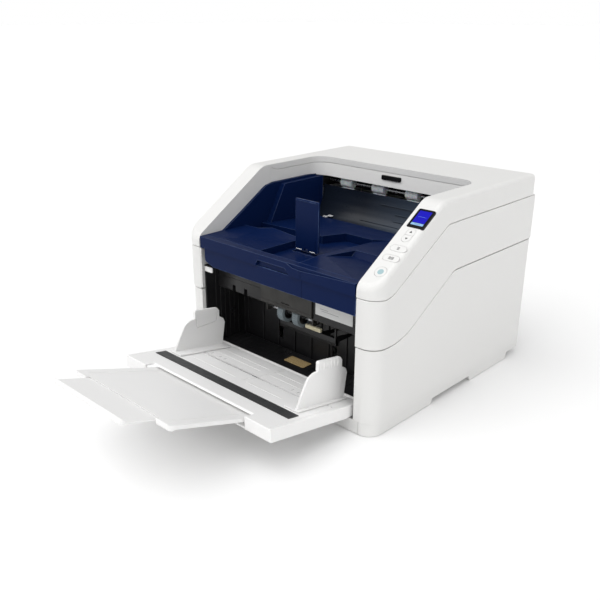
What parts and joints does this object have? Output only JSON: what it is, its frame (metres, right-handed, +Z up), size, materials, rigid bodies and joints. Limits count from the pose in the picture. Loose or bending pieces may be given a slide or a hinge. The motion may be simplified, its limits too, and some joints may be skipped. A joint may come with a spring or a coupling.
{
  "type": "sheet fed document scanner",
  "caption": "Desktop sheet fed document scanner with a lifting input tray, sliding paper guides, a rear-hinged lid that carries the output tray, and a control panel on one arm.",
  "frame": {"origin": "middle of the machine's footprint, tray extensions included, on the table", "axes": "+X to the machine's right as seen from its front, +Y from the input tray to the rear, +Z up"},
  "size_m": [0.483, 0.895, 0.3885],
  "materials": {
    "warm_white_plastic": "fine texture",
    "navy_plastic": "satin",
    "black_plastic": "matt",
    "dark_grey_plastic": "matt",
    "grey_plastic": "matt",
    "zinc_steel": "zinc plated",
    "black_rubber": "matt",
    "pale_roller_rubber": "ground",
    "scan_glass": "polished",
    "circuit_board": "solder mask",
    "label_film": "matt film",
    "cream_plastic": "satin",
    "tan_cork_rubber": "matt"
  },
  "bodies": {
    "housing": {"base_pan": "warm_white_plastic", "rubber_foot_front_left": "black_rubber", "rubber_foot_front_right": "black_rubber", "rubber_foot_rear_left": "black_rubber", "rubber_foot_rear_right": "black_rubber", "left_side_cover": "warm_white_plastic", "right_side_cover": "warm_white_plastic", "left_band": "warm_white_plastic", "right_band": "warm_white_plastic", "rear_cover": "warm_white_plastic", "power_inlet": "black_plastic", "data_port": "zinc_steel", "left_frame": "zinc_steel", "right_frame": "zinc_steel", "lower_scan_unit": "grey_plastic", "lower_scan_glass": "scan_glass", "upper_scan_unit": "grey_plastic", "upper_scan_glass": "scan_glass", "drive_motor": "grey_plastic", "drive_belt": "black_rubber", "main_board": "circuit_board", "power_supply": "zinc_steel", "bay_liner": "black_plastic", "front_crossbar": "dark_grey_plastic", "roller_housing": "dark_grey_plastic", "front_fascia": "navy_plastic", "guide_label": "label_film", "release_tab": "cream_plastic"},
    "lid": {"lid_shell": "warm_white_plastic", "left_hinge_arm": "zinc_steel", "right_hinge_arm": "zinc_steel", "output_tray": "navy_plastic", "exit_idlers": "pale_roller_rubber", "display": "black_plastic", "lid_badge": "black_plastic"},
    "flap": {"stop_flap": "navy_plastic"},
    "exit_rollers": {"exit_shaft": "pale_roller_rubber"},
    "up_key": {"up_button": "warm_white_plastic"},
    "down_key": {"down_button": "warm_white_plastic"},
    "one_side_key": {"one_side_button": "warm_white_plastic"},
    "two_side_key": {"two_side_button": "warm_white_plastic"},
    "start_key": {"start_button": "warm_white_plastic"},
    "tray": {"input_tray": "warm_white_plastic", "tray_strip": "dark_grey_plastic", "lift_platform": "black_plastic", "stack_pad": "tan_cork_rubber"},
    "guide_left": {"left_guide": "warm_white_plastic"},
    "guide_right": {"right_guide": "warm_white_plastic"},
    "pinion": {"guide_pinion": "grey_plastic"},
    "extension": {"tray_extension": "warm_white_plastic"},
    "extension_inner": {"tray_extension_inner": "warm_white_plastic"},
    "pick_rollers": {"pick_shaft": "zinc_steel", "pick_roller_left": "pale_roller_rubber", "pick_roller_right": "pale_roller_rubber"},
    "feed_rollers": {"feed_shaft": "black_rubber"},
    "turn_rollers": {"turn_shaft": "black_rubber"},
    "motor_rotor": {"motor_pulley": "zinc_steel"},
    "rocker": {"power_switch": "black_plastic"}
  },
  "joints": [
    {"name": "lid_hinge", "type": "hinge", "parent": "housing", "child": "lid", "pos_m": [0, 0.4373, 0.347], "axis": [-1, 0, 0], "range_deg": [0, 60]},
    {"name": "flap_hinge", "type": "hinge", "parent": "lid", "child": "flap", "pos_m": [0, 0.0375, 0.2685], "axis": [1, 0, 0], "range_deg": [0, 82]},
    {"name": "exit_shaft_turn", "type": "hinge", "parent": "lid", "child": "exit_rollers", "pos_m": [0, 0.3085, 0.335], "axis": [1, 0, 0], "continuous": true},
    {"name": "up_press", "type": "slide", "parent": "lid", "child": "up_key", "axis": [0, 0.5407, -0.8412], "range_m": [0, 0.0012], "stiffness_N_per_m": 400},
    {"name": "down_press", "type": "slide", "parent": "lid", "child": "down_key", "axis": [0, 0.5407, -0.8412], "range_m": [0, 0.0012], "stiffness_N_per_m": 400},
    {"name": "one_side_press", "type": "slide", "parent": "lid", "child": "one_side_key", "axis": [0, 0.5407, -0.8412], "range_m": [0, 0.0012], "stiffness_N_per_m": 400},
    {"name": "two_side_press", "type": "slide", "parent": "lid", "child": "two_side_key", "axis": [0, 0.5407, -0.8412], "range_m": [0, 0.0012], "stiffness_N_per_m": 400},
    {"name": "start_press", "type": "slide", "parent": "lid", "child": "start_key", "axis": [0, 0.5407, -0.8412], "range_m": [0, 0.0012], "stiffness_N_per_m": 400},
    {"name": "tray_lift", "type": "slide", "parent": "housing", "child": "tray", "axis": [0, 0, 1], "range_m": [0, 0.07]},
    {"name": "guide_slide", "type": "slide", "parent": "tray", "child": "guide_left", "axis": [1, 0, 0], "range_m": [0, 0.1]},
    {"name": "right_guide_slide", "type": "slide", "parent": "tray", "child": "guide_right", "axis": [-1, 0, 0], "range_m": [0, 0.1]},
    {"name": "pinion_turn", "type": "hinge", "parent": "tray", "child": "pinion", "pos_m": [0, -0.1075, 0.0535], "axis": [0, 0, 1], "range_deg": [0, 700]},
    {"name": "extension_slide", "type": "slide", "parent": "tray", "child": "extension", "axis": [0, 0.9511, -0.309], "range_m": [0, 0.13]},
    {"name": "inner_extension_slide", "type": "slide", "parent": "extension", "child": "extension_inner", "axis": [0, 0.9511, -0.309], "range_m": [0, 0.048]},
    {"name": "pick_shaft_turn", "type": "hinge", "parent": "housing", "child": "pick_rollers", "pos_m": [0, 0.0025, 0.151], "axis": [1, 0, 0], "continuous": true},
    {"name": "feed_shaft_turn", "type": "hinge", "parent": "housing", "child": "feed_rollers", "pos_m": [0, 0.0765, 0.118], "axis": [1, 0, 0], "continuous": true},
    {"name": "turn_shaft_turn", "type": "hinge", "parent": "housing", "child": "turn_rollers", "pos_m": [0, 0.3605, 0.19], "axis": [1, 0, 0], "continuous": true},
    {"name": "motor_turn", "type": "hinge", "parent": "housing", "child": "motor_rotor", "pos_m": [0, 0.2085, 0.066], "axis": [1, 0, 0], "continuous": true},
    {"name": "switch_rock", "type": "hinge", "parent": "housing", "child": "rocker", "pos_m": [0.154, 0.4415, 0.071], "axis": [1, 0, 0], "range_deg": [0, 8]}
  ],
  "couplings": [
    {"joint": "right_guide_slide", "follows": "guide_slide", "ratio": 1},
    {"joint": "pinion_turn", "follows": "guide_slide", "rad_per_m": 120},
    {"joint": "motor_turn", "follows": "feed_shaft_turn", "ratio": 2}
  ]
}
